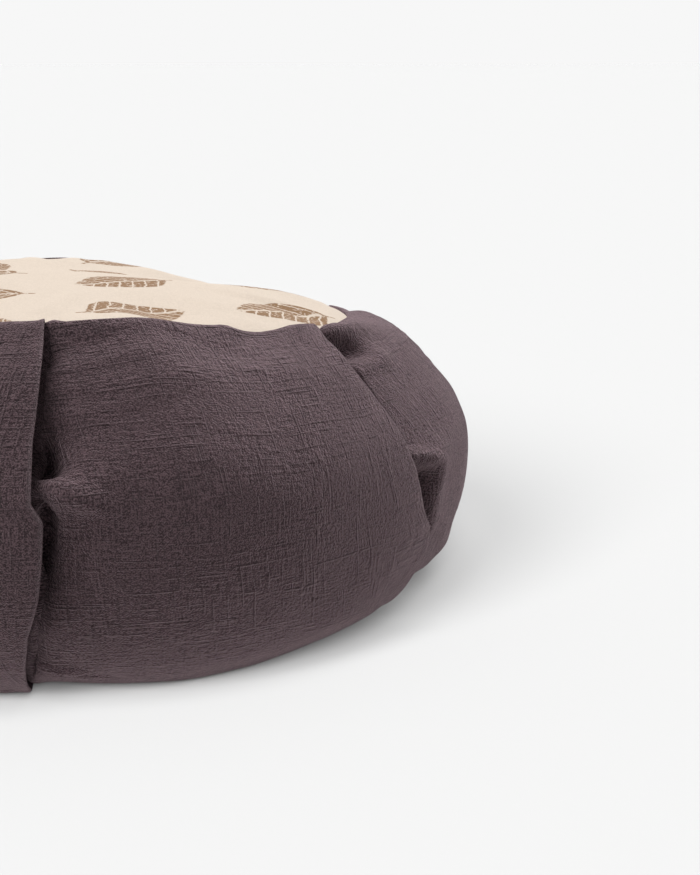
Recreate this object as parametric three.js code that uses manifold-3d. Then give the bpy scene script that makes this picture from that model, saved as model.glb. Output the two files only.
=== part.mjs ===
// Zafu meditation cushion: two round panels joined by a deep side band that is laid in knife pleats
// and filled firm, so that each gore between two pleats swells and laps over the next one.
// Millimetres, +Z up, front towards -Y. Angles run counter-clockwise from the front, seen from above.
import * as THREE from "three";
import { mergeVertices } from "three/addons/utils/BufferGeometryUtils.js";
import Module from "manifold-3d";

// Driving dimensions
const SEAM_RADIUS = 147; // stitched rim of the top panel
const BASE_RADIUS = 136; // stitched rim of the bottom panel, drawn in under the cushion
const GIRTH_RADIUS = 202; // widest reach of the side band, before a gore's own crown
const GIRTH_HEIGHT = 74; // height of that widest line
const FOOT_GAP = 0.4; // the side band lies flat this much clear of the floor
const CROWN_HEIGHT = 155; // middle of the top panel
const PANEL_THICKNESS = 2; // top and bottom panels, cloth and seam allowance
const PIECE_GAP = 0.3; // between neighbouring pieces
const LIP = 1.8; // thickness of a folded pleat edge
const SEAM_TUCK = 4; // depth of a pleat where it is sewn flat into a seam
const SEAM_LAP = 13; // overlap of a pleat where it is sewn flat into a seam
const SEAM_SLIT = 0.7; // gap left under a sewn-down pleat
const SEAM_DIP = 3; // how far the top seam lies below the shoulder beside it
const SHOULDER = 3; // roll of cloth that stands over the top seam
const EDGE_ROLL = 0.5; // how far a gore's face turns in towards its folded edge
const CROWN_FALL = 0.6; // share of a gore's crown that is lost again by its folded edge
const RISE = 0.35; // share of a gore's width over which it climbs out from under the lap
const HOLLOW = 0.16; // share of its width that a gape takes up
const GIRTH_FULLNESS = 0.95; // exponent of the section at the girth: 1 is an ellipse, less is boxier
const FOOT_FULLNESS = 0.82; // the same near the foot
const TOP_FULLNESS = 1.5; // the same near the top seam, where a greater one gives a straighter slope

// Faces along each stretch of a gore's section, and rows from seam to seam
const UNDER_STEPS = 4;
const FACE_STEPS = 14;
const LIP_STEPS = 2;
const BACK_STEPS = 4;
const ROWS = 26;
const PANEL_SPOKES = 72;
const PANEL_RINGS = 6;

const CHARCOAL = { color: 0x4d4044, roughness: 0.95, metalness: 0 };
const CREAM = { color: 0xeadac4, roughness: 0.92, metalness: 0 };

// One row for each pleat, going round from the front. angle: its folded edge at the girth.
// top, foot: how far the edge drifts round by each seam. lap, tuck: overlap and depth at the girth.
const PLEATS = [
  { angle: -2.7, top: 2.5, foot: -1.6, lap: 20, tuck: 30 },
  { angle: 52.6, top: -2.4, foot: 15, lap: 18, tuck: 30 },
  { angle: 104, top: -3, foot: 3, lap: 16, tuck: 26 },
  { angle: 157, top: 4, foot: -2, lap: 19, tuck: 28 },
  { angle: 207, top: -4, foot: 4, lap: 17, tuck: 26 },
  { angle: 257, top: 3, foot: -4, lap: 20, tuck: 30 },
  { angle: 308, top: -4, foot: 3, lap: 17, tuck: 27 },
];

// Where a gore stands off under the folded edge before it. at: height from 0 at the foot to 1 at the
// top seam. tall: half-height of the opening. gap: how far it opens.
const GAPES = [
  { pleat: 0, at: 0.94, tall: 0.05, gap: 4 },
  { pleat: 0, at: 0.69, tall: 0.06, gap: 9 },
  { pleat: 0, at: 0.5, tall: 0.07, gap: 8 },
  { pleat: 1, at: 0.87, tall: 0.06, gap: 7 },
  { pleat: 1, at: 0.45, tall: 0.08, gap: 12 },
  { pleat: 2, at: 0.66, tall: 0.09, gap: 9 },
  { pleat: 3, at: 0.83, tall: 0.07, gap: 6 },
  { pleat: 3, at: 0.47, tall: 0.09, gap: 10 },
  { pleat: 4, at: 0.57, tall: 0.11, gap: 9 },
  { pleat: 5, at: 0.75, tall: 0.07, gap: 8 },
  { pleat: 5, at: 0.42, tall: 0.08, gap: 10 },
  { pleat: 6, at: 0.6, tall: 0.1, gap: 9 },
];

// Swell of each gore at its middle, starting at the pleat of the same row.
const CROWNS = [5, 5, 6.5, 5, 5.5, 5, 6];

// Puffs and dents of the side band. wide: half-width in degrees. at, tall: as for a gape.
// lift: how far the cloth stands out there.
const PUFFS = [
  { angle: 64, at: 0.93, wide: 10, tall: 0.06, lift: 5 },
  { angle: 2, at: 0.6, wide: 4, tall: 0.04, lift: 4 },
  { angle: 60, at: 0.55, wide: 4, tall: 0.04, lift: 4 },
  { angle: 30, at: 0.93, wide: 9, tall: 0.08, lift: -3 },
  { angle: 112, at: 0.9, wide: 8, tall: 0.07, lift: 4 },
  { angle: 163, at: 0.63, wide: 5, tall: 0.05, lift: 4 },
  { angle: 184, at: 0.93, wide: 9, tall: 0.08, lift: -3 },
  { angle: 214, at: 0.92, wide: 8, tall: 0.06, lift: 4 },
  { angle: 262, at: 0.58, wide: 5, tall: 0.05, lift: 4 },
  { angle: 286, at: 0.92, wide: 10, tall: 0.08, lift: -3 },
  { angle: 316, at: 0.9, wide: 9, tall: 0.06, lift: 4 },
];

// Height of the shoulder round the cushion, which the pleats pull unevenly.
const RIM = [
  { angle: -30, height: 151 },
  { angle: -3, height: 154 },
  { angle: 13, height: 155 },
  { angle: 31, height: 145 },
  { angle: 46, height: 144 },
  { angle: 65, height: 140 },
  { angle: 92, height: 136 },
  { angle: 125, height: 132 },
  { angle: 150, height: 137 },
  { angle: 176, height: 149 },
  { angle: 206, height: 145 },
  { angle: 235, height: 148 },
  { angle: 262, height: 143 },
  { angle: 290, height: 147 },
];

// Soft lumps and dents of the filling under the top panel.
const LUMPS = [
  { angle: 300, radius: 30, spread: 60, lift: 3 },
  { angle: 122, radius: 95, spread: 42, lift: -12 },
  { angle: 85, radius: 110, spread: 30, lift: 4 },
  { angle: 178, radius: 100, spread: 40, lift: 4 },
];

const rad = THREE.MathUtils.degToRad;
const lerp = THREE.MathUtils.lerp;
const smooth = (x) => THREE.MathUtils.smoothstep(x, 0, 1);

const bump = (away, reach) => Math.exp(-((away / reach) ** 2));
const sumOf = (rows, value) => rows.reduce((sum, row) => sum + value(row), 0);

// How free the cloth is at a height: 0 where it is sewn, 1 midway between the seams.
const openness = (height) => Math.sin(Math.PI * height) ** 0.8;

// A point at an angle from the front, a radius and a height.
function polar(angle, radius, height) {
  return new THREE.Vector3(radius * Math.sin(angle), -radius * Math.cos(angle), height);
}

// Height of the top seam at an angle, eased between the rows of RIM.
function rimHeight(angle) {
  const start = RIM[0].angle;
  const turn = THREE.MathUtils.euclideanModulo(THREE.MathUtils.radToDeg(angle) - start, 360) + start;
  const after = RIM.findIndex((row) => row.angle > turn);
  const to = after < 0 ? { angle: start + 360, height: RIM[0].height } : RIM[after];
  const from = RIM[(after < 0 ? RIM.length : after) - 1];
  return lerp(from.height, to.height, smooth((turn - from.angle) / (to.angle - from.angle)));
}

// Height of the top panel's upper side.
function panelHeight(angle, radius) {
  const out = radius / SEAM_RADIUS;
  const seam = rimHeight(angle) - SEAM_DIP;
  const here = polar(angle, radius, 0);
  const lumps = sumOf(LUMPS, (lump) => {
    return lump.lift * bump(here.distanceTo(polar(rad(lump.angle), lump.radius, 0)), lump.spread);
  });
  return seam + (CROWN_HEIGHT - seam) * (1 - out ** 2.4) + lumps * (1 - out ** 4);
}

// A pleat at a height from 0 at the foot to 1 at the top: sewn flat at both seams, open between them.
function pleatAt(index, height) {
  const count = PLEATS.length;
  const row = PLEATS[index % count];
  const swell = openness(height);
  const gape = sumOf(GAPES, ({ pleat, at, tall, gap }) => {
    return pleat === index % count ? gap * bump(height - at, tall) : 0;
  });
  const drift = height > 0.5 ? row.top * smooth(2 * height - 1) : row.foot * smooth(1 - 2 * height);
  return {
    angle: rad(row.angle + drift + 360 * Math.floor(index / count)),
    lap: lerp(SEAM_LAP, row.lap, swell),
    tuck: lerp(SEAM_TUCK, row.tuck, swell),
    gape: gape * swell,
  };
}

// Radius and height of the side band's section at an angle, before pleats.
function sideSection(angle, height) {
  const turn = Math.PI * (height - 0.5);
  const out = Math.cos(turn);
  const up = Math.sin(turn);
  const seam = up < 0 ? BASE_RADIUS + PIECE_GAP : SEAM_RADIUS + SEAM_TUCK;
  const fullness = lerp(GIRTH_FULLNESS, up < 0 ? FOOT_FULLNESS : TOP_FULLNESS, Math.abs(up));
  const reach = up < 0 ? FOOT_GAP - GIRTH_HEIGHT : rimHeight(angle) - SEAM_DIP - GIRTH_HEIGHT;
  const radius = seam + (GIRTH_RADIUS - seam) * out ** fullness;
  return new THREE.Vector2(radius, GIRTH_HEIGHT + reach * Math.abs(up) ** fullness);
}

// The same point, sunk by a depth: straight in at the girth, turning to straight down at the top seam
// and straight up at the foot.
function sunkSection(angle, height, depth) {
  const tilt = (Math.PI / 2) * Math.sign(height - 0.5) * Math.abs(2 * height - 1) ** 1.6;
  const out = new THREE.Vector2(Math.cos(tilt), Math.sin(tilt));
  return sideSection(angle, height).addScaledVector(out, -depth);
}

// Section of one gore at a height, as angles and depths below the band's own surface: out from under
// the lap before it, across its face, round its folded edge and back to the next pleat's inner fold.
function goreSection(index, height) {
  const from = pleatAt(index, height);
  const to = pleatAt(index + 1, height);
  const swell = openness(height);
  const radius = sideSection(from.angle, height).x;
  const hidden = from.angle - from.lap / radius;
  const edge = to.angle;
  const roll = EDGE_ROLL * swell;
  const step = roll + LIP + SEAM_SLIT;
  const points = [];
  for (let k = 0; k < UNDER_STEPS; k++) {
    const along = k / UNDER_STEPS;
    points.push([lerp(hidden, from.angle, along), lerp(from.tuck, step + from.gape, along ** 2)]);
  }
  for (let k = 0; k <= FACE_STEPS; k++) {
    const along = lerp(k / FACE_STEPS, smooth(k / FACE_STEPS), 0.7);
    const rise = step * (1 - smooth(along / RISE)) + from.gape * (1 - smooth(along / HOLLOW));
    const fall = roll * smooth((along - 0.75) / 0.25);
    const crown = CROWNS[index] * swell * smooth(along / 0.5) * (1 - CROWN_FALL * smooth(2 * along - 1));
    points.push([lerp(from.angle, edge, along), rise + fall - crown]);
  }
  for (let k = 1; k < LIP_STEPS; k++) {
    const turn = (Math.PI * k) / LIP_STEPS;
    const bead = (LIP / 2) * Math.sin(turn);
    points.push([edge + bead / radius, roll + (LIP / 2) * (1 - Math.cos(turn))]);
  }
  for (let k = 0; k < BACK_STEPS; k++) {
    const along = k / BACK_STEPS;
    points.push([edge - (to.lap * along) / radius, lerp(roll + LIP, to.tuck, along ** 1.6)]);
  }
  return points;
}

// Roll of cloth that stands proud of the section just outside the top seam.
function shoulderRoll(height) {
  return height > 0.7 ? SHOULDER * Math.sin((Math.PI * (height - 0.7)) / 0.3) ** 2 : 0;
}

// How far the puffs and dents lift the side band at an angle and height.
function puffLift(angle, height) {
  return sumOf(PUFFS, (puff) => {
    const turn = THREE.MathUtils.euclideanModulo(angle - rad(puff.angle) + Math.PI, 2 * Math.PI) - Math.PI;
    return puff.lift * bump(turn, rad(puff.wide)) * bump(height - puff.at, puff.tall);
  });
}

// One closed ring of the side band.
function bandRing(height) {
  return PLEATS.flatMap((_, index) =>
    goreSection(index, height).map(([angle, depth]) => {
      const lift = shoulderRoll(height) + puffLift(angle, height) * openness(height);
      const point = sunkSection(angle, height, depth - lift);
      return polar(angle, point.x, Math.max(point.y, FOOT_GAP));
    }),
  );
}

// A closed mesh lofted through rings of equal length, with a point at each end.
function loft(rings, start, end) {
  const count = rings[0].length;
  const points = [...rings.flat(), start, end];
  const startIndex = points.length - 2;
  const endIndex = points.length - 1;
  const last = (rings.length - 1) * count;
  const faces = [];
  for (let k = 0; k < count; k++) {
    const next = (k + 1) % count;
    faces.push(startIndex, next, k, endIndex, last + k, last + next);
    for (let row = 0; row < rings.length - 1; row++) {
      const low = row * count;
      const high = low + count;
      faces.push(low + k, low + next, high + next, low + k, high + next, high + k);
    }
  }
  const geometry = new THREE.BufferGeometry().setFromPoints(points);
  geometry.setIndex(faces);
  return geometry;
}

// A disc with the same outline above and below, lofted down from the middle of its upper side.
function disc(radius, rings, upper, lower) {
  const ring = (share, height) =>
    Array.from({ length: PANEL_SPOKES }, (_, k) => {
      const angle = (2 * Math.PI * k) / PANEL_SPOKES;
      return polar(angle, radius * share, height(angle, radius * share));
    });
  const shares = Array.from({ length: rings }, (_, k) => (k + 1) / rings);
  const loops = [
    ...shares.map((share) => ring(share, lower)),
    ...shares.toReversed().map((share) => ring(share, upper)),
  ];
  return loft(loops, polar(0, 0, lower(0, 0)), polar(0, 0, upper(0, 0)));
}

const wasm = await Module();
wasm.setup();

function toSolid(geometry) {
  const merged = mergeVertices(geometry);
  const vertProperties = merged.attributes.position.array;
  return new wasm.Manifold(new wasm.Mesh({ numProp: 3, vertProperties, triVerts: merged.index.array }));
}

function toGeometry(solid) {
  const mesh = solid.getMesh();
  const geometry = new THREE.BufferGeometry();
  geometry.setAttribute("position", new THREE.BufferAttribute(mesh.vertProperties, 3));
  geometry.setIndex(new THREE.BufferAttribute(mesh.triVerts, 1));
  return geometry;
}

// The pleated band with its filling, hollowed above and below to seat the two panels.
function sideBand() {
  const rings = Array.from({ length: ROWS + 1 }, (_, row) => bandRing(row / ROWS));
  const beyond = 40; // the raw body's ends stand this far past the panels, and are cut away
  const raw = toSolid(loft(rings, polar(0, 0, -beyond), polar(0, 0, CROWN_HEIGHT + beyond)));
  const underTop = (angle, radius) => panelHeight(angle, radius) - PANEL_THICKNESS - PIECE_GAP;
  const topSeat = disc(SEAM_RADIUS, PANEL_RINGS, () => CROWN_HEIGHT + 2 * beyond, underTop);
  const bottomSeat = disc(BASE_RADIUS, 1, () => PANEL_THICKNESS + PIECE_GAP, () => -2 * beyond);
  return toGeometry(raw.subtract(toSolid(topSeat)).subtract(toSolid(bottomSeat)));
}

function topPanel() {
  const lower = (angle, radius) => panelHeight(angle, radius) - PANEL_THICKNESS;
  return disc(SEAM_RADIUS - PIECE_GAP, PANEL_RINGS, panelHeight, lower);
}

function bottomPanel() {
  return disc(BASE_RADIUS - PIECE_GAP, 1, () => PANEL_THICKNESS, () => 0);
}

function piece(name, geometry, finish) {
  const mesh = new THREE.Mesh(geometry, new THREE.MeshStandardMaterial(finish));
  mesh.name = name;
  return mesh;
}

const zafu = new THREE.Group();
zafu.add(
  piece("side_band", sideBand(), CHARCOAL),
  piece("top_panel", topPanel(), CREAM),
  piece("bottom_panel", bottomPanel(), CHARCOAL),
);

// Centre the cushion over the origin.
const box = new THREE.Box3().setFromObject(zafu);
const centre = box.getCenter(new THREE.Vector3());
zafu.children.forEach((mesh) => mesh.position.set(-centre.x, -centre.y, 0));

export default zafu;
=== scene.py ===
import math

import bmesh
import bpy
import numpy as np
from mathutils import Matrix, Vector


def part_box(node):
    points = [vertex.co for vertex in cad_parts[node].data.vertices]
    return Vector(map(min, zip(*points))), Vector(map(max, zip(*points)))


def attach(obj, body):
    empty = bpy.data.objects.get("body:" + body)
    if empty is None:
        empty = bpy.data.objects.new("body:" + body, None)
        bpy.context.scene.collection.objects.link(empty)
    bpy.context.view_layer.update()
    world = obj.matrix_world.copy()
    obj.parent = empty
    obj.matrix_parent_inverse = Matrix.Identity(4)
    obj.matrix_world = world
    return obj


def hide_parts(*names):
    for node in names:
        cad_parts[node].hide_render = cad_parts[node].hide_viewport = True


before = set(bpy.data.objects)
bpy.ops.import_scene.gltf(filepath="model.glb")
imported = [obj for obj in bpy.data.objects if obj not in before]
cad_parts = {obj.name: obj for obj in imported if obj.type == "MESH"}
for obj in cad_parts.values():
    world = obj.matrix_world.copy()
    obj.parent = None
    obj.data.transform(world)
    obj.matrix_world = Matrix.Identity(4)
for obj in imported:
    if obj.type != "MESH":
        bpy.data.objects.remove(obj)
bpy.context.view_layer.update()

# One millimetre, in the scene's metres
MM = 0.001

# The middle of the cushion, where the bottom panel is centred
low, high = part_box("bottom_panel")
MIDDLE = (low + high) / 2

# The band's grid, as the part is lofted: the gores round it, and the columns of vertices in one gore, first
# those under the lap before it and then those of its face
GORES = 7
GORE_COLUMNS = 24
UNDER_LAP = 4
FACE = 15

# The radii of the two seams, and a height between the seams, in metres
SEAM_RADIUS = 0.147
BASE_RADIUS = 0.136
HALF_UP = 0.05

# The band laid flat, in millimetres: across a gore's face, up the cloth, and from gore to gore
FACE_ACROSS = 190
CLOTH_UP = 250
GORE_STEP = 370

# What every point of the band is marked with. gore: counted round from the front. across: from 0 at the lap
# before the gore's face to 1 at its own folded edge. height: from 0 at the foot to 1 at the top seam.
MARKS = ("gore", "across", "height")

# How near its gore mark is to a whole number where a point lies on that gore, and not between two
GORE_SLACK = 0.02

# Folds that stand out or sink in on a gore's face. wide, lift: in millimetres.
CREASES = (
    # gore, across, height, to across, to height, wide, lift
    (0, -0.08, 0.95, 0.04, 0.945, 7.0, 4.0),
    (0, 0.00, 0.89, 0.03, 0.85, 3.5, -4.0),
    (0, 0.01, 0.70, 0.045, 0.645, 5.5, -9.0),
    (0, -0.02, 0.635, 0.20, 0.555, 4.6, 3.6),
    (0, -0.01, 0.595, 0.03, 0.545, 3.6, -9.0),
    (0, 0.033, 0.55, 0.012, 0.36, 3.6, -12.0),
    (0, 0.01, 0.42, -0.005, 0.12, 3.2, -5.0),
    (0, 0.00, 0.24, 0.14, 0.21, 3.5, 2.4),
    (0, 0.60, 0.30, 0.92, 0.27, 14.0, 1.6),
    (0, 0.02, 0.205, 0.17, 0.18, 3.0, -2.8),
    (0, 0.02, 0.88, 0.38, 0.92, 2.8, -0.6),
    (0, 0.03, 0.84, 0.46, 0.88, 3.0, 0.6),
    (0, 0.10, 0.79, 0.52, 0.82, 3.0, 0.5),
    (0, 0.04, 0.75, 0.26, 0.77, 3.0, 0.5),
    (0, 0.34, 0.92, 0.70, 0.87, 3.0, 0.5),
    (0, 0.50, 0.84, 0.88, 0.79, 3.0, 0.5),
    (0, 0.42, 0.22, 0.58, 0.32, 2.6, 0.4),
    (0, 0.50, 0.20, 0.68, 0.33, 2.6, 0.4),
    (1, -0.02, 0.92, 0.30, 0.905, 7.0, 2.8),
    (1, -0.04, 0.885, 0.13, 0.85, 8.0, -5.5),
    (1, -0.02, 0.81, 0.22, 0.83, 6.5, 2.6),
    (1, -0.02, 0.565, 0.15, 0.53, 5.0, 5.0),
    (1, 0.04, 0.495, 0.045, 0.34, 7.0, -19.0),
    (1, 0.15, 0.52, 0.12, 0.33, 6.5, 3.0),
    (1, 0.02, 0.28, 0.55, 0.26, 18.0, 2.8),
    (1, 0.30, 0.80, 0.62, 0.84, 3.0, 0.7),
    (2, 0.00, 0.68, 0.03, 0.62, 5.0, -6.0),
    (2, 0.00, 0.72, 0.20, 0.76, 5.0, 2.6),
    (2, 0.03, 0.88, 0.40, 0.92, 3.0, 0.9),
    (2, 0.05, 0.82, 0.45, 0.84, 3.0, 0.7),
    (2, 0.55, 0.90, 0.92, 0.85, 3.0, 0.8),
    (2, 0.03, 0.22, 0.16, 0.12, 4.0, 1.8),
    (3, 0.00, 0.52, 0.03, 0.42, 5.0, -6.0),
    (3, 0.00, 0.57, 0.16, 0.60, 5.0, 3.0),
    (3, 0.00, 0.85, 0.04, 0.81, 4.0, -4.0),
    (3, 0.03, 0.90, 0.36, 0.94, 3.0, 0.9),
    (3, 0.30, 0.85, 0.70, 0.82, 3.0, 0.7),
    (3, 0.60, 0.24, 0.80, 0.34, 2.8, 0.5),
    (4, 0.00, 0.62, 0.03, 0.52, 5.0, -6.0),
    (4, 0.00, 0.67, 0.15, 0.64, 5.0, 2.6),
    (4, 0.04, 0.86, 0.48, 0.90, 3.0, 0.9),
    (4, 0.52, 0.92, 0.90, 0.88, 3.0, 0.8),
    (4, 0.02, 0.20, 0.14, 0.11, 4.0, 2.0),
    (5, 0.00, 0.78, 0.04, 0.73, 4.5, -5.0),
    (5, 0.00, 0.57, 0.15, 0.53, 5.0, 3.2),
    (5, 0.00, 0.50, 0.03, 0.38, 5.0, -6.0),
    (5, 0.03, 0.85, 0.30, 0.90, 3.0, 1.0),
    (5, 0.35, 0.90, 0.75, 0.85, 3.0, 0.7),
    (5, 0.45, 0.20, 0.64, 0.32, 2.8, 0.5),
    (6, 0.00, 0.64, 0.03, 0.55, 5.0, -6.0),
    (6, 0.00, 0.74, 0.16, 0.70, 5.0, 2.4),
    (6, 0.03, 0.90, 0.42, 0.93, 3.0, 0.9),
    (6, 0.70, 0.80, 0.97, 0.84, 3.0, 0.6),
)

# How far the band's shoulder stands above the top seam, beyond its smooth shape: turn round the cushion
# from the front in degrees, and height in millimetres
SHOULDER = (
    *((-180, -7.0), (-110, -5.0), (-70, 0.0), (-40, 3.5), (-10, 4.8), (-3, 5.0), (-1, 5.4), (1.5, 8.2)),
    *((4, 8.0), (7, 7.0), (11, 5.6), (15, 4.6), (19, 4.6), (22, 5.2), (25, 6.6), (28, 8.0), (30, 6.5)),
    *((32, 5.0), (35, 3.6), (39, 3.4), (42, 4.3), (46, 3.4), (50, 3.1), (55, 4.0), (62, 2.0), (72, -1.0)),
    *((85, -2.5), (105, -4.5), (120, -6.5), (135, -9.0), (150, -9.0), (180, -7.0)),
)

# Where the shoulder's rim lies on the marks, and how wide a puff or a dip round it is
RIM_HEIGHT = 0.945
PUFF_WIDE, DIP_WIDE = 0.05, 0.075

# How far a gore's folded edge strays along the next gore: height, and millimetres. The edges that are not
# listed stray by chance, within so many millimetres.
STRAYS = {
    0: (
        *((0.08, -10.0), (0.16, -15.0), (0.24, -15.0), (0.31, -7.0), (0.37, 5.0), (0.42, 5.0)),
        *((0.46, -2.0), (0.52, -8.0), (0.58, -11.0), (0.7, -12.0), (0.8, -14.0), (0.88, -12.0)),
        (0.96, -3.0),
    ),
    6: (
        *((0.1, 0.0), (0.2, -1.4), (0.28, -2.2), (0.355, -1.3), (0.425, 2.7), (0.50, 4.7)),
        *((0.55, 5.2), (0.585, 0.4), (0.70, -0.9), (0.85, 0.0)),
    ),
}
OTHER_STRAYS = 4

# How far a folded edge stands off the gore beneath it, away from a ring inside the band, in metres
STAND_OFF = 0.0024
RING_RADIUS, RING_HEIGHT = 0.12, 0.074

# How each sewn edge turns in under its panel, step by step: beyond the seam's radius, and up, in metres
TOP_TURNS = ((0.0004, 0.0005), (0.0002, -0.0034), (-0.005, -0.0006))
FOOT_TURNS = ((0.0001, 0.0026), (-0.005, 0.0004))

# The filling that swells the band, the frames that it takes, and the farthest that it may push, in metres
FILLING = {
    "quality": 6,
    "mass": 0.15,
    "tension_stiffness": 20,
    "compression_stiffness": 12,
    "shear_stiffness": 6,
    "bending_stiffness": 0.15,
    "use_pressure": True,
    "uniform_pressure_force": 4,
    "vertex_group_mass": "held",
}
FILLING_FRAMES = 20
MOST_SWELL = 0.0025

# The foot of the band rests on the floor: how high up it flattens, and its least height, in metres
FOOT_ZONE = 0.006
FOOT_LEAST = 0.0003

# Swells and dips of the top panel: where, how wide and deep in metres, and height in millimetres
TOP_SWELLS = (
    (0.0, 0.06, 0.048, 0.05, -3.2),
    (0.06, 0.05, 0.03, 0.06, 2.0),
    (0.115, 0.0, 0.03, 0.05, 0.6),
    (0.006, 0.085, 0.014, 0.05, -2.4),
    (0.052, 0.08, 0.016, 0.05, 1.5),
)

# A soft ridge on the top panel: how far forward it starts, which way it runs, its length and width in
# metres, and its height in millimetres
RIDGE_START = -0.113
RIDGE_X, RIDGE_Y = 0.32, 0.95
RIDGE_LONG, RIDGE_WIDE, RIDGE_RISE = 0.045, 0.006, 1.8

# The bottom panel's thickness in metres, and the cuts along each edge of its copy
BASE_THICK = 0.002
BASE_CUTS = 9

# Dyes and inks, with painted shade on the slub cords and a painted highlight on the folded edges
CHARCOAL, CHARCOAL_PALE = (0.032, 0.02, 0.023, 1), (0.116, 0.075, 0.084, 1)
# The slub cords are painted darker: painted shade along the raised threads
CORD_PAINTED_SHADE, CORD_SHADE_SHARE = (0.034, 0.021, 0.024, 1), 0.5
# A painted highlight along each folded edge of the band
EDGE_HIGHLIGHT_COLOUR, EDGE_HIGHLIGHT_SHARE = (0.2, 0.155, 0.165, 1), 0.4
CREAM, CREAM_PALE = (0.506, 0.43, 0.359, 1), (0.548, 0.467, 0.391, 1)
LEAF_INK, INK_SHARE = (0.19, 0.099, 0.041, 1), 0.95
WHITE = (1, 1, 1, 1)

# The weave and the leaf print, in millimetres
THREAD = 1.05
REPEAT_WIDE, REPEAT_DEEP = 72.0, 66.0
LEAF_HALF, LEAF_GIRTH, LEAF_TAPER = 27.0, 17.0, -4.5
VEIN_STEP, VEIN_SLANT = 7.6, -0.8
STALK_PLACE = 28.0

# The camera: its place in metres, its tilt down and its turn in degrees, and its focal length and the
# picture's height in pixels
CAMERA_PLACE = (-0.0003, -0.86844, 0.26219)
CAMERA_TILT, CAMERA_TURN = 12.396, -9.8716
CAMERA_FOCAL, PICTURE_HEIGHT = 1768.754, 875
SENSOR = 36

# Broad lights on the cushion alone and on the floor alone: where from, strength, and spread in degrees
CUSHION_SUNS = {
    "key": ((-0.55, -0.16, 0.83), 3.25, 50),
    "rim": ((0.64, 0.56, 0.52), 2.9, 40),
}
FLOOR_SUNS = {
    "floor_left": ((-0.51, -0.72, 0.47), 5.2, 26),
    "floor_front": ((0.0, -0.88, 0.47), 8.2, 26),
    "floor_above": ((0.0, -0.5, 0.87), 2.4, 34),
}


# Numbers over the cloth


def smooth_step(value, start, end):
    t = np.clip((value - start) / (end - start), 0, 1)
    return t * t * (3 - 2 * t)


def rise_and_fall(value, start, full, wane, end):
    """Rises from 0 at the start to 1 at full, and falls again from wane to the end."""
    return smooth_step(value, start, full) * (1 - smooth_step(value, wane, end))


def bell(value, wide):
    return np.exp(-((value / wide) ** 2))


def unevenness(x, y, seed):
    """Smooth unevenness from 0 to 1, with one swell to each unit of x and y."""
    i, j = np.floor(x), np.floor(y)
    fx, fy = smooth_step(x - i, 0, 1), smooth_step(y - j, 0, 1)

    def corner(a, b):
        return np.modf(np.abs(np.sin(a * 127.1 + b * 311.7 + seed * 74.7)) * 43758.5453)[0]

    near = corner(i, j) * (1 - fx) + corner(i + 1, j) * fx
    far = corner(i, j + 1) * (1 - fx) + corner(i + 1, j + 1) * fx
    return near * (1 - fy) + far * fy


def swells(x, y, wide, high, seed):
    """Unevenness from -0.5 to 0.5, in swells of this width and height."""
    return unevenness(x / wide, y / high, seed) - 0.5


def on_gore(gore, number):
    """Whether each point lies on the numbered gore, and not between two."""
    return np.abs(gore - number) < GORE_SLACK


def flat_place(gore, across, height):
    """A place on the band laid flat, in millimetres."""
    return across * FACE_ACROSS + gore * GORE_STEP, height * CLOTH_UP


def turn_of(x, y):
    """The turn round the cushion from the front."""
    return np.arctan2(x, -y)


def from_middle(places):
    """How far each point lies from the middle, seen from above: both ways, and in all."""
    out = places[:, :2] - np.array(MIDDLE.xy)
    return out, np.linalg.norm(out, axis=1, keepdims=True)


# Meshes


def read_vectors(rows, label):
    values = np.empty(len(rows) * 3, np.float32)
    rows.foreach_get(label, values)
    return values.reshape(-1, 3).astype(float)


def read_places(mesh):
    return read_vectors(mesh.vertices, "co")


def read_normals(mesh):
    return read_vectors(mesh.vertex_normals, "vector")


def read_marks(mesh):
    marks = np.empty((len(MARKS), len(mesh.vertices)), np.float32)
    for name, values in zip(MARKS, marks):
        mesh.attributes[name].data.foreach_get("value", values)
    return marks.astype(float)


def write_places(mesh, places):
    mesh.vertices.foreach_set("co", places.astype(np.float32).ravel())
    mesh.update()


def shown_mesh(piece):
    return piece.evaluated_get(bpy.context.evaluated_depsgraph_get()).data


def refine(piece, levels, fittings=4):
    """Makes the piece's mesh finer and rounder, still passing through the points that it has."""
    mesh = piece.data
    goal = read_places(mesh)
    rounding = piece.modifiers.new("rounding", "SUBSURF")
    rounding.levels = rounding.render_levels = levels
    for _ in range(fittings):
        short = goal - read_places(shown_mesh(piece))[: len(goal)]
        write_places(mesh, read_places(mesh) + short)
    graph = bpy.context.evaluated_depsgraph_get()
    shown = piece.evaluated_get(graph)
    piece.data = bpy.data.meshes.new_from_object(shown, preserve_all_data_layers=True, depsgraph=graph)
    piece.modifiers.clear()


def new_piece(name, bm):
    mesh = bpy.data.meshes.new(name)
    bm.to_mesh(mesh)
    bm.free()
    mesh.shade_smooth()
    piece = bpy.data.objects.new(name, mesh)
    bpy.context.scene.collection.objects.link(piece)
    return piece


def copy_of(node):
    bm = bmesh.new()
    bm.from_mesh(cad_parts[node].data)
    bmesh.ops.remove_doubles(bm, verts=bm.verts, dist=2e-6)
    return bm


def reach(vert):
    return (vert.co - MIDDLE).xy.length


# The pleated band


def in_seat(vert, slack=1e-4):
    """Whether the vertex lies where the top panel or the bottom panel sits."""
    under_top = vert.co.z > 0.1 and reach(vert) < SEAM_RADIUS + slack
    over_base = vert.co.z < 0.02 and reach(vert) < BASE_RADIUS + slack
    return under_top or over_base


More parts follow.
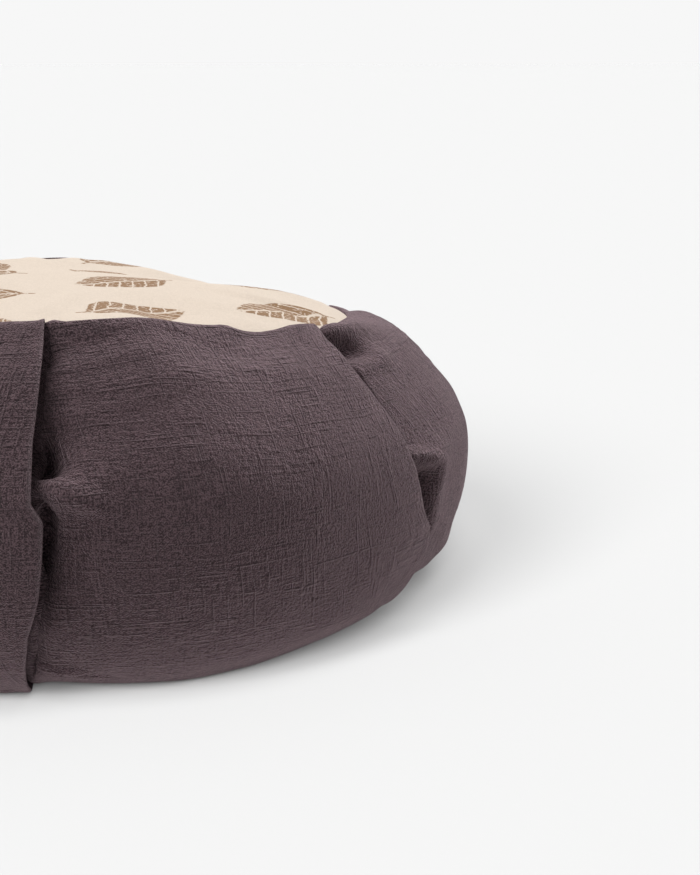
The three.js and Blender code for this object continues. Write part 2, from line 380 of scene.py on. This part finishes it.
def band_rows(bm):
    """The band's rows of vertices, from the foot up, each in order round the cushion."""
    first = {}
    for edge in bm.edges:
        if edge.is_boundary and edge.verts[0].co.z < HALF_UP:
            loop = edge.link_loops[0]
            first[loop.vert] = loop
    vert = next(iter(first))
    row, above = [], []
    for _ in first:
        row.append(vert)
        loop = first[vert]
        above.append(loop.link_loop_prev.vert)
        vert = loop.link_loop_next.vert
    rows = [row]
    while True:
        row = above[-1:] + above[:-1]
        rows.append(row)
        above = []
        for vert, after in zip(row, row[1:] + row[:1]):
            found = [l for l in vert.link_loops if l.link_loop_next.vert == after]
            if not found:
                return rows
            above.append(found[0].link_loop_prev.vert)


def from_first_fold(rows, near=6):
    """The same rows, started at the inner fold behind the front pleat."""
    middle = rows[len(rows) // 2]
    depth = [reach(vert) for vert in middle]
    count = len(middle)
    around = range(-near, near + 1)
    folds = [k for k in range(count) if depth[k] == min(depth[(k + d) % count] for d in around)]
    start = min(folds, key=lambda k: (middle[k].co - MIDDLE).xy.normalized().y + abs(middle[k].co.x))
    return [row[start:] + row[:start] for row in rows]


def join_facets(bm, rows):
    """Joins the band's triangles into a grid of four-sided faces."""
    count = len(rows[0])
    slants = []
    for lower, upper in zip(rows, rows[1:]):
        slants += [bm.edges.get((lower[k], upper[(k + 1) % count])) for k in range(count)]
    bmesh.ops.dissolve_edges(bm, edges=slants)


def mark_cloth(bm, rows):
    """Notes on each vertex and corner where it lies on the cloth."""
    gore_of, across_of, height_of = (bm.verts.layers.float[name] for name in MARKS)
    cloth = bm.loops.layers.uv["cloth"]
    count, top = len(rows[0]), len(rows) - 1
    places = np.array([[vert.co for vert in row] for row in rows])
    ahead = np.linalg.norm(np.roll(places, -1, axis=1) - places, axis=2)
    up = np.linalg.norm(np.diff(places, axis=0), axis=2)
    spot = {}
    for j, row in enumerate(rows):
        for gore in range(GORES):
            begin = gore * GORE_COLUMNS
            lengths = ahead[j, begin : begin + GORE_COLUMNS]
            along = np.concatenate([[0], np.cumsum(lengths)])
            face_start, face_end = along[UNDER_LAP], along[UNDER_LAP + FACE - 1]
            face_middle = (face_start + face_end) / 2
            rise = up[:j, begin + UNDER_LAP + FACE // 2].sum()
            for k in range(GORE_COLUMNS + 1):
                spot[j, gore, k] = (gore * (GORE_STEP * MM) + along[k] - face_middle, rise)
                if k < GORE_COLUMNS:
                    vert = row[begin + k]
                    vert[gore_of], vert[height_of] = gore, j / top
                    vert[across_of] = (along[k] - face_start) / (face_end - face_start)
    column = {vert: (j, k) for j, row in enumerate(rows) for k, vert in enumerate(row)}
    for face in bm.faces:
        gores = [column[vert][1] // GORE_COLUMNS for vert in face.verts]
        closes_ring = (min(gores), max(gores)) == (0, GORES - 1)
        home = max(gores) if closes_ring else min(gores)
        for loop in face.loops:
            j, k = column[loop.vert]
            loop[cloth].uv = spot[j, home, (k - home * GORE_COLUMNS) % count]


def press_folds(rows, thinner=0.5, shorter=0.8):
    """Presses each pleat's folded edge flat."""
    for row in rows:
        for gore in range(GORES):
            face_end = gore * GORE_COLUMNS + UNDER_LAP + FACE - 1
            front, fold, back = row[face_end : face_end + 3]
            out = fold.co - (front.co + back.co) / 2
            back.co = front.co.lerp(back.co, thinner)
            fold.co = (front.co + back.co) / 2 + out * shorter


def turn_in(bm, edges, radius, rise):
    """Turns a sewn edge in under its panel, and returns the new edge."""
    made = bmesh.ops.extrude_edge_only(bm, edges=edges)["geom"]
    for vert in (v for v in made if isinstance(v, bmesh.types.BMVert)):
        out = (vert.co - MIDDLE).xy.normalized() * radius
        vert.co = Vector((MIDDLE.x + out.x, MIDDLE.y + out.y, vert.co.z + rise))
    return [e for e in made if isinstance(e, bmesh.types.BMEdge) and e.is_boundary]


def swell_band(piece):
    """Fills the band with the cushion's filling, held at both seams and inside its pleats."""
    mesh = piece.data
    gore, across, height = read_marks(mesh)
    hidden = 1 - rise_and_fall(across, 0.06, 0.3, 0.8, 1.0)
    sewn = 1 - rise_and_fall(height, 0.06, 0.2, 0.8, 0.97)
    held = np.where(on_gore(gore, np.round(gore)), np.maximum(hidden, sewn), 1)
    group = piece.vertex_groups.new(name="held")
    for index, weight in enumerate(held):
        group.add([index], float(weight), "REPLACE")
    filling = piece.modifiers.new("filling", "CLOTH")
    for label, value in FILLING.items():
        setattr(filling.settings, label, value)
    filling.settings.effector_weights.gravity = 0
    filling.collision_settings.use_collision = False
    filling.point_cache.frame_end = FILLING_FRAMES
    before = read_places(mesh)
    for step in range(FILLING_FRAMES):
        bpy.context.scene.frame_set(step + 1)
    moved = read_places(shown_mesh(piece)) - before
    piece.modifiers.clear()
    bpy.context.scene.frame_set(1)
    far = np.linalg.norm(moved, axis=1, keepdims=True)
    write_places(mesh, before + moved * np.minimum(1, MOST_SWELL / np.maximum(far, 1e-9)))


def stray_folds(places, gore, across, height):
    """Lets the folded edges wander a little along the gores beneath them."""
    shift = (unevenness(height * 7, gore * 3.7, 23) - 0.5) * OTHER_STRAYS
    shift *= np.sin(np.pi * np.clip(height, 0, 1))
    for number, row in STRAYS.items():
        shift = np.where(on_gore(gore, number), np.interp(height, *zip(*row)), shift)
    shift *= rise_and_fall(across, 0.66, 0.995, 1.03, 1.17) * on_gore(gore, np.round(gore))
    out, far = from_middle(places)
    round_it = np.stack([-out[:, 1], out[:, 0]], axis=1) / far
    places[:, :2] += round_it * (shift * MM)[:, None]


def stand_folds_off(places, gore, across, height):
    """Lets each folded edge stand a little off the gore that it laps over."""
    out, far = from_middle(places)
    away = np.column_stack([out - out / far * RING_RADIUS, places[:, 2] - MIDDLE.z - RING_HEIGHT])
    away /= np.linalg.norm(away, axis=1, keepdims=True)
    rise = rise_and_fall(across, 0.66, 1.0, 1.02, 1.13) * rise_and_fall(height, 0.12, 0.35, 0.84, 0.98)
    rise *= on_gore(gore, np.round(gore))
    places += away * rise[:, None] * STAND_OFF


def raise_shoulder(places, height, outward=0.3, upward=0.95):
    """Lifts or sinks the rim round the top seam, all layers of cloth together."""
    out, far = from_middle(places)
    rise = np.interp(np.degrees(turn_of(*out.T)), *zip(*SHOULDER)) * MM
    wide = np.where(rise > 0, PUFF_WIDE, DIP_WIDE)
    rise *= bell(height - RIM_HEIGHT, wide) * (1 - smooth_step(height, 0.955, 0.995))
    places[:, :2] += out / far * rise[:, None] * outward
    places[:, 2] += rise * upward


def soft_lift(x, y, height):
    """The cloth's own unevenness in millimetres, with small folds near the shoulder and the foot."""
    lift = swells(x, y, 46, 38, 3) * 1.6 + swells(x, y, 22, 15, 5) * 0.8
    sway = swells(x, y, 40, 24, 7) * 16
    upper = smooth_step(height, 0.58, 0.8)
    lift += upper * (np.abs(swells(x, y + sway, 46, 8.5, 11)) * -1.3 + 0.3)
    lower = rise_and_fall(height, 0.16, 0.26, 0.34, 0.46)
    lift += lower * (np.abs(swells(x - y, x + y, 9, 40, 13)) * -1.2 + 0.3)
    return lift


def crease_fold(x, y, start, end, wide, rise):
    """A fold's height in millimetres, along a line on the flat cloth."""
    start = np.array(start)
    run = np.array(end) - start
    length = np.linalg.norm(run)
    away = np.stack([x, y], axis=1) - start
    along = away @ run / (run @ run)
    side = (away[:, 0] * run[1] - away[:, 1] * run[0]) / length
    side = side + swells(x, y, 18, 18, 17) * 0.8 * wide
    over = wide / length
    return rise * bell(side, wide) * rise_and_fall(along, -over, over, 0.6, 1 + over)


def crease_band(piece):
    """Lays creases and small unevenness into the band's faces, and marks the folded edges for a painted
    highlight.
    """
    mesh = piece.data
    gore, across, height = read_marks(mesh)
    places = read_places(mesh)
    stray_folds(places, gore, across, height)
    stand_folds_off(places, gore, across, height)
    raise_shoulder(places, height)
    write_places(mesh, places)
    x, y = flat_place(gore, across, height)
    lift = soft_lift(x, y, height)
    sink = -2.4 * bell(across * FACE_ACROSS, 6) * smooth_step(height, 0.1, 0.3)
    for number, across_0, height_0, across_1, height_1, wide, rise in CREASES:
        start, end = flat_place(number, across_0, height_0), flat_place(number, across_1, height_1)
        fold = crease_fold(x, y, start, end, wide, rise) * on_gore(gore, number)
        lift += np.maximum(fold, 0)
        sink += np.minimum(fold, 0)
    whole = on_gore(gore, np.round(gore))
    ends = rise_and_fall(height, 0.02, 0.08, 0.955, 0.995) * whole
    lift *= rise_and_fall(across, -0.05, 0.01, 0.95, 1.0) * ends
    sink *= rise_and_fall(across, -0.12, -0.03, 0.95, 1.0) * ends
    places += read_normals(mesh) * ((lift + sink) * MM)[:, None]
    foot = np.clip(places[:, 2] / FOOT_ZONE, 0, 1)
    places[:, 2] = np.where(foot < 1, np.maximum(FOOT_ZONE * foot**1.5, FOOT_LEAST), places[:, 2])
    write_places(mesh, places)
    # A painted highlight along each folded edge, stronger in random stretches
    edge_highlight = bell(across - 1.002, 0.007) * whole * (0.25 + unevenness(height * 9, gore * 5, 41))
    mesh.attributes.new("edge_highlight", "FLOAT", "POINT").data.foreach_set("value", edge_highlight.astype(np.float32))


def make_band():
    bm = copy_of("side_band")
    seat = [face for face in bm.faces if any(in_seat(vert) for vert in face.verts)]
    bmesh.ops.delete(bm, geom=seat, context="FACES")
    for name in MARKS:
        bm.verts.layers.float.new(name)
    bm.loops.layers.uv.new("cloth")
    rows = from_first_fold(band_rows(bm))
    join_facets(bm, rows)
    mark_cloth(bm, rows)
    press_folds(rows)
    edges = [e for e in bm.edges if e.is_boundary]
    upper = [e for e in edges if e.verts[0].co.z > HALF_UP]
    lower = [e for e in edges if e.verts[0].co.z < HALF_UP]
    for edge, radius, turns in ((upper, SEAM_RADIUS, TOP_TURNS), (lower, BASE_RADIUS, FOOT_TURNS)):
        for beyond, rise in turns:
            edge = turn_in(bm, edge, radius + beyond, rise)
    bmesh.ops.recalc_face_normals(bm, faces=bm.faces)
    piece = new_piece("pleated_band", bm)
    refine(piece, levels=1)
    swell_band(piece)
    refine(piece, levels=1)
    crease_band(piece)
    return piece


# The printed top and the plain base


def copy_of_panel(node):
    bm = copy_of(node)
    bmesh.ops.join_triangles(bm, faces=bm.faces, angle_face_threshold=1.0, angle_shape_threshold=1.2)
    return bm


def on_panel(places, radius):
    """Where each point lies on a round panel: both ways from its middle, share of its radius, and turn."""
    x, y = (places[:, k] - MIDDLE[k] for k in (0, 1))
    return x, y, np.hypot(x, y) / radius, turn_of(x, y)


def top_ridge(x, y):
    forward = y - RIDGE_START
    along = (x * RIDGE_X + forward * RIDGE_Y) / RIDGE_LONG
    side = x * RIDGE_Y - forward * RIDGE_X
    return RIDGE_RISE * bell(side, RIDGE_WIDE) * rise_and_fall(along, -0.3, 0.1, 0.8, 1.3)


def make_top():
    piece = new_piece("printed_top", copy_of_panel("top_panel"))
    refine(piece, levels=2)
    places = read_places(piece.data)
    x, y, out, turn = on_panel(places, SEAM_RADIUS)
    rise = (unevenness(turn * 11, out * 3, 29) - 0.5) * smooth_step(out, 0.5, 0.9) * 2.4
    rise += swells(x, y, 0.045, 0.045, 31) * 2.0 + swells(x, y, 0.02, 0.03, 37) * 0.8
    rise += top_ridge(x, y)
    for middle_x, middle_y, wide, deep, swell in TOP_SWELLS:
        rise += swell * bell(x - middle_x, wide) * bell(y - middle_y, deep)
    places[:, 2] += rise * (1 - smooth_step(out, 0.93, 0.99)) * MM
    write_places(piece.data, places)
    return piece


def make_base():
    bm = copy_of_panel("bottom_panel")
    bmesh.ops.subdivide_edges(bm, edges=bm.edges[:], cuts=BASE_CUTS, use_grid_fill=True)
    piece = new_piece("plain_base", bm)
    places = read_places(piece.data)
    _, _, out, turn = on_panel(places, BASE_RADIUS)
    curl = smooth_step(out, 0.86, 1.0) * (0.1 + 0.4 * unevenness(turn * 12, out * 3, 43))
    places[:, 2] += curl * MM * (1 - places[:, 2] / BASE_THICK)
    write_places(piece.data, places)
    return piece


# Materials


def feed(tree, socket, value):
    if isinstance(value, bpy.types.NodeSocket):
        tree.links.new(value, socket)
    else:
        socket.default_value = value


def set_up(node, values):
    for label, value in values.items():
        node.inputs[label].default_value = value


def reckon(tree, operation, *values, kind="ShaderNodeMath"):
    node = tree.nodes.new(kind)
    node.operation = operation
    for socket, value in zip(node.inputs, values):
        feed(tree, socket, value)
    return node.outputs[0]


def reckon_vector(tree, operation, *values):
    return reckon(tree, operation, *values, kind="ShaderNodeVectorMath")


def weighed(tree, total, *shares):
    """The total with each value, times its weight, added to it."""
    for value, weight in shares:
        total = reckon(tree, "MULTIPLY_ADD", value, weight, total)
    return total


def less_half(tree, value):
    return reckon(tree, "SUBTRACT", value, 0.5)


def left_from_one(tree, value):
    return reckon(tree, "SUBTRACT", 1.0, value)


def eased(tree, value, start, end):
    node = tree.nodes.new("ShaderNodeMapRange")
    node.interpolation_type = "SMOOTHSTEP"
    feed(tree, node.inputs["Value"], value)
    set_up(node, {"From Min": start, "From Max": end})
    return node.outputs[0]


def split_place(tree, place):
    node = tree.nodes.new("ShaderNodeSeparateXYZ")
    feed(tree, node.inputs[0], place)
    return node.outputs


def in_millimetres(tree, place):
    return reckon_vector(tree, "MULTIPLY", place, (1 / MM, 1 / MM, 1 / MM))


def noise_of(tree, place, across, along, detail):
    node = tree.nodes.new("ShaderNodeTexNoise")
    set_up(node, {"Scale": 1.0, "Detail": detail})
    grains = reckon_vector(tree, "MULTIPLY", place, (1 / across, 1 / along, 1 / across))
    feed(tree, node.inputs["Vector"], grains)
    return node.outputs


def mottle(tree, place, across, along, detail=1.0):
    """Noise from 0 to 1 whose grains are across by along millimetres, on a place in millimetres."""
    return noise_of(tree, place, across, along, detail)[0]


def strayed(tree, place, grain, amount):
    """The place moved about a little, in swells as wide as the grain."""
    stray = noise_of(tree, place, grain, grain, 1.0)["Color"]
    stray = reckon_vector(tree, "SUBTRACT", stray, (0.5, 0.5, 0.5))
    return reckon_vector(tree, "MULTIPLY_ADD", stray, amount, place)


def blended(tree, share, first, second):
    node = tree.nodes.new("ShaderNodeMix")
    node.data_type = "RGBA"
    for label, value in (("Factor", share), ("A", first), ("B", second)):
        feed(tree, node.inputs[label], value)
    return node.outputs["Result"]


def new_group(name, place, outputs):
    """A node group that reads a place and puts out numbers over the cloth."""
    tree = bpy.data.node_groups.new(name, "ShaderNodeTree")
    tree.interface.new_socket(place, in_out="INPUT", socket_type="NodeSocketVector")
    for label in outputs:
        tree.interface.new_socket(label, in_out="OUTPUT", socket_type="NodeSocketFloat")
    given = tree.nodes.new("NodeGroupInput").outputs[place]
    return tree, given, tree.nodes.new("NodeGroupOutput").inputs


def slub_weave_group():
    """Crinkled cotton with thick and thin threads.

    Cloth is a place in metres, Relief is in millimetres, and Tone and Cord go from about 0 to 1.
    """
    tree, given, out = new_group("slub_weave", "Cloth", ("Relief", "Tone", "Cord"))
    place = in_millimetres(tree, given)
    swayed = strayed(tree, place, 30, (2.4, 2.4, 2.4))

    def in_patches(thread, patch):
        threads = less_half(tree, mottle(tree, swayed, *thread))
        return reckon(tree, "MULTIPLY", threads, eased(tree, mottle(tree, place, *patch), 0.36, 0.62))

    def thick_threads(thread):
        return eased(tree, mottle(tree, swayed, *thread), 0.57, 0.7)

    def thread_wave(along):
        return reckon(tree, "SINE", reckon(tree, "MULTIPLY", along, math.tau / THREAD))

    ribs = in_patches((1.1, 8), (17, 40))
    bars = in_patches((8, 1.1), (44, 15))
    slubs = reckon(tree, "MAXIMUM", thick_threads((1.5, 60)), thick_threads((54, 1.5)))
    cord = reckon(tree, "MULTIPLY", slubs, eased(tree, mottle(tree, place, 8, 8), 0.38, 0.58))
    parts = split_place(tree, place)
    weave = reckon(tree, "MULTIPLY", thread_wave(parts["X"]), thread_wave(parts["Y"]))
    grain = less_half(tree, mottle(tree, place, 0.66, 0.66))
    crepe = less_half(tree, mottle(tree, place, 1.9, 1.9))
    relief = ((cord, 1.5), (crepe, 1.6), (ribs, 1.4), (bars, 1.8), (weave, 0.1), (grain, 2.0))
    tone = ((crepe, 1.6), (grain, 6.6), (ribs, 2.4), (bars, 2.4), (weave, 0.12))
    feed(tree, out["Relief"], weighed(tree, 0.0, *relief))
    feed(tree, out["Tone"], weighed(tree, 0.5, *tone))
    feed(tree, out["Cord"], cord)
    return tree


def leaf_print_group():
    """Leaves in a half-drop repeat, each turned its own way and dabbed with a dry brush."""
    tree, given, out = new_group("leaf_print", "Place", ("Ink",))
    place = in_millimetres(tree, given)
    parts = split_place(tree, strayed(tree, place, 5, (2.4, 2.4, 0.0)))

    def number_of(along, repeat):
        return reckon(tree, "FLOOR", reckon(tree, "DIVIDE", along, repeat))

    def from_leaf(along, number, repeat, chance, stray):
        middle = reckon(tree, "ADD", number, 0.5)
        return weighed(tree, along, (middle, -repeat), (less_half(tree, chance), stray))

    # The column and row of the repeat, every other column dropped by half a row
    column = number_of(parts["X"], REPEAT_WIDE)
    drop = reckon(tree, "MULTIPLY", reckon(tree, "FLOORED_MODULO", column, 2.0), REPEAT_DEEP / 2)
    dropped = reckon(tree, "ADD", parts["Y"], drop)
    row = number_of(dropped, REPEAT_DEEP)

    # Each leaf's own shift and turn
    spot = tree.nodes.new("ShaderNodeCombineXYZ")
    feed(tree, spot.inputs["X"], column)
    feed(tree, spot.inputs["Y"], row)
    chance = tree.nodes.new("ShaderNodeTexWhiteNoise")
    chance.noise_dimensions = "2D"
    feed(tree, chance.inputs["Vector"], spot.outputs[0])
    shift = tree.nodes.new("ShaderNodeSeparateColor")
    feed(tree, shift.inputs[0], chance.outputs["Color"])
    x = from_leaf(parts["X"], column, REPEAT_WIDE, shift.outputs[0], stray=8.0)
    y = from_leaf(dropped, row, REPEAT_DEEP, shift.outputs[1], stray=6.0)
    turn = reckon(tree, "MULTIPLY", chance.outputs["Value"], math.tau)
    cosine, sine = reckon(tree, "COSINE", turn), reckon(tree, "SINE", turn)
    along = reckon(tree, "MULTIPLY_ADD", x, cosine, reckon(tree, "MULTIPLY", y, sine))
    side = reckon(tree, "SUBTRACT", reckon(tree, "MULTIPLY", y, cosine), reckon(tree, "MULTIPLY", x, sine))
    side = reckon(tree, "ABSOLUTE", side)

    # The blade, its middle rib and veins left bare, and its stalk
    share = reckon(tree, "DIVIDE", along, LEAF_HALF)
    girth = left_from_one(tree, reckon(tree, "MULTIPLY", share, share))
    girth = reckon(tree, "MAXIMUM", girth, 0.0)
    girth = reckon(tree, "MULTIPLY", girth, weighed(tree, LEAF_GIRTH, (share, LEAF_TAPER)))
    blade = eased(tree, reckon(tree, "SUBTRACT", girth, side), -0.2, 0.9)
    blade = reckon(tree, "MULTIPLY", blade, eased(tree, side, 0.5, 1.3))
    vein = reckon(tree, "DIVIDE", weighed(tree, along, (side, VEIN_SLANT)), VEIN_STEP)
    vein = reckon(tree, "ABSOLUTE", less_half(tree, reckon(tree, "FRACT", vein)))
    blade = reckon(tree, "MULTIPLY", blade, left_from_one(tree, eased(tree, vein, 0.4, 0.46)))
    stalk = eased(tree, reckon(tree, "ABSOLUTE", reckon(tree, "ADD", along, STALK_PLACE)), 4.5, 3.5)
    stalk = reckon(tree, "MULTIPLY", stalk, left_from_one(tree, eased(tree, side, 0.5, 1.1)))
    dry = eased(tree, mottle(tree, place, 1.6, 1.6, detail=2.0), 0.32, 0.44)
    feed(tree, out["Ink"], reckon(tree, "MULTIPLY", reckon(tree, "MAXIMUM", blade, stalk), dry))
    return tree


def new_material(name, values):
    material = bpy.data.materials.new(name)
    material.use_nodes = True
    shader = material.node_tree.nodes["Principled BSDF"]
    set_up(shader, values)
    return material, material.node_tree, shader


def new_cloth(name, sheen, tint):
    matt = {"Roughness": 0.95, "Specular IOR Level": 0.15}
    fluff = {"Sheen Weight": sheen, "Sheen Roughness": 0.45, "Sheen Tint": tint}
    return new_material(name, matt | fluff)


def place_group(tree, group, place):
    node = tree.nodes.new("ShaderNodeGroup")
    node.node_tree = group
    feed(tree, node.inputs[0], place)
    return node.outputs


def finish_cloth(tree, shader, shade, relief, strength):
    bump = tree.nodes.new("ShaderNodeBump")
    set_up(bump, {"Strength": strength, "Distance": MM})
    feed(tree, bump.inputs["Height"], relief)
    feed(tree, shader.inputs["Normal"], bump.outputs[0])
    feed(tree, shader.inputs["Base Color"], shade)


def cloth_place(tree, uv_map):
    if uv_map:
        node = tree.nodes.new("ShaderNodeUVMap")
        node.uv_map = uv_map
        return node.outputs[0]
    return tree.nodes.new("ShaderNodeTexCoord").outputs["Object"]


def charcoal_slub(name, weave, uv_map=None):
    material, tree, shader = new_cloth(name, sheen=0.4, tint=(1, 0.74, 0.8, 1))
    cloth = place_group(tree, weave, cloth_place(tree, uv_map))
    shade = blended(tree, cloth["Tone"], CHARCOAL, CHARCOAL_PALE)
    # The slub cords painted darker, as painted shade along the raised threads
    shade = blended(tree, reckon(tree, "MULTIPLY", cloth["Cord"], CORD_SHADE_SHARE), shade, CORD_PAINTED_SHADE)
    # A painted highlight along the band's folded edges
    if uv_map:
        edge_highlight = tree.nodes.new("ShaderNodeAttribute")
        edge_highlight.attribute_name = "edge_highlight"
        shade = blended(tree, reckon(tree, "MULTIPLY", edge_highlight.outputs["Fac"], EDGE_HIGHLIGHT_SHARE), shade, EDGE_HIGHLIGHT_COLOUR)
    finish_cloth(tree, shader, shade, cloth["Relief"], strength=0.8)
    return material


def printed_cream(name, weave, leaves):
    material, tree, shader = new_cloth(name, sheen=0.08, tint=(1, 0.95, 0.9, 1))
    place = cloth_place(tree, None)
    cloth = place_group(tree, weave, place)
    shade = blended(tree, cloth["Tone"], CREAM, CREAM_PALE)
    ink = place_group(tree, leaves, place)["Ink"]
    shade = blended(tree, reckon(tree, "MULTIPLY", ink, INK_SHARE), shade, LEAF_INK)
    finish_cloth(tree, shader, shade, cloth["Relief"], strength=0.12)
    return material


# The studio


def place_camera():
    data = bpy.data.cameras.new("studio_camera")
    data.lens = SENSOR * CAMERA_FOCAL / PICTURE_HEIGHT
    camera = bpy.data.objects.new("studio_camera", data)
    camera.location = CAMERA_PLACE
    camera.rotation_euler = (math.radians(90 - CAMERA_TILT), 0, math.radians(CAMERA_TURN))
    bpy.context.scene.collection.objects.link(camera)
    bpy.context.scene.camera = camera


def soft_sun(name, towards, strength, spread, lit):
    """A broad light that falls on the lit pieces alone."""
    data = bpy.data.lights.new(name, "SUN")
    data.energy = strength
    data.angle = math.radians(spread)
    lamp = bpy.data.objects.new(name, data)
    lamp.rotation_euler = Vector(towards).to_track_quat("Z", "Y").to_euler()
    bpy.context.scene.collection.objects.link(lamp)
    lamp.light_linking.receiver_collection = bpy.data.collections.new(name)
    for piece in lit:
        lamp.light_linking.receiver_collection.objects.link(piece)


def light_studio():
    """A pale studio, brighter behind the cushion than before it, and seen as plain white."""
    scene = bpy.context.scene
    scene.view_settings.view_transform = "Standard"
    world = bpy.data.worlds.new("studio")
    world.use_nodes = True
    tree = world.node_tree
    towards = split_place(tree, tree.nodes.new("ShaderNodeTexCoord").outputs["Generated"])
    glow = tree.nodes.new("ShaderNodeMapRange")
    feed(tree, glow.inputs["Value"], towards["Y"])
    set_up(glow, {"From Min": -0.9, "From Max": 0.6, "To Min": 0.08, "To Max": 0.45})
    lights = tree.nodes["Background"]
    set_up(lights, {"Color": WHITE})
    feed(tree, lights.inputs["Strength"], glow.outputs[0])
    seen = tree.nodes.new("ShaderNodeBackground")
    set_up(seen, {"Color": WHITE, "Strength": 0.93})
    path = tree.nodes.new("ShaderNodeLightPath")
    either = tree.nodes.new("ShaderNodeMixShader")
    choice = (path.outputs["Is Camera Ray"], lights.outputs[0], seen.outputs[0])
    for socket, value in zip(either.inputs, choice):
        feed(tree, socket, value)
    feed(tree, tree.nodes["World Output"].inputs["Surface"], either.outputs[0])
    scene.world = world


def lay_floor():
    bm = bmesh.new()
    bmesh.ops.create_grid(bm, x_segments=1, y_segments=1, size=30)
    floor = new_piece("floor", bm)
    matt = {"Base Color": (0.3, 0.3, 0.3, 1), "Roughness": 1.0, "Specular IOR Level": 0.0}
    glow = {"Emission Color": WHITE, "Emission Strength": 0.04}
    floor.data.materials.append(new_material("pale_floor", matt | glow)[0])
    return floor


place_camera()
light_studio()
floor = lay_floor()

slub_weave = slub_weave_group()
leaf_print = leaf_print_group()

band = make_band()
band.data.materials.append(charcoal_slub("charcoal_slub_band", slub_weave, "cloth"))
top = make_top()
top.data.materials.append(printed_cream("printed_cream_cotton", slub_weave, leaf_print))
base = make_base()
base.data.materials.append(charcoal_slub("charcoal_slub_base", slub_weave))

for suns, lit in ((CUSHION_SUNS, [band, top, base]), (FLOOR_SUNS, [floor])):
    for name, (towards, strength, spread) in suns.items():
        soft_sun(name, towards, strength, spread, lit)

for piece, node, slot in (
    (band, "side_band", "side_cloth"),
    (top, "top_panel", "panel_print"),
    (base, "bottom_panel", "base_cloth"),
):
    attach(piece, "root")
    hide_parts(node)
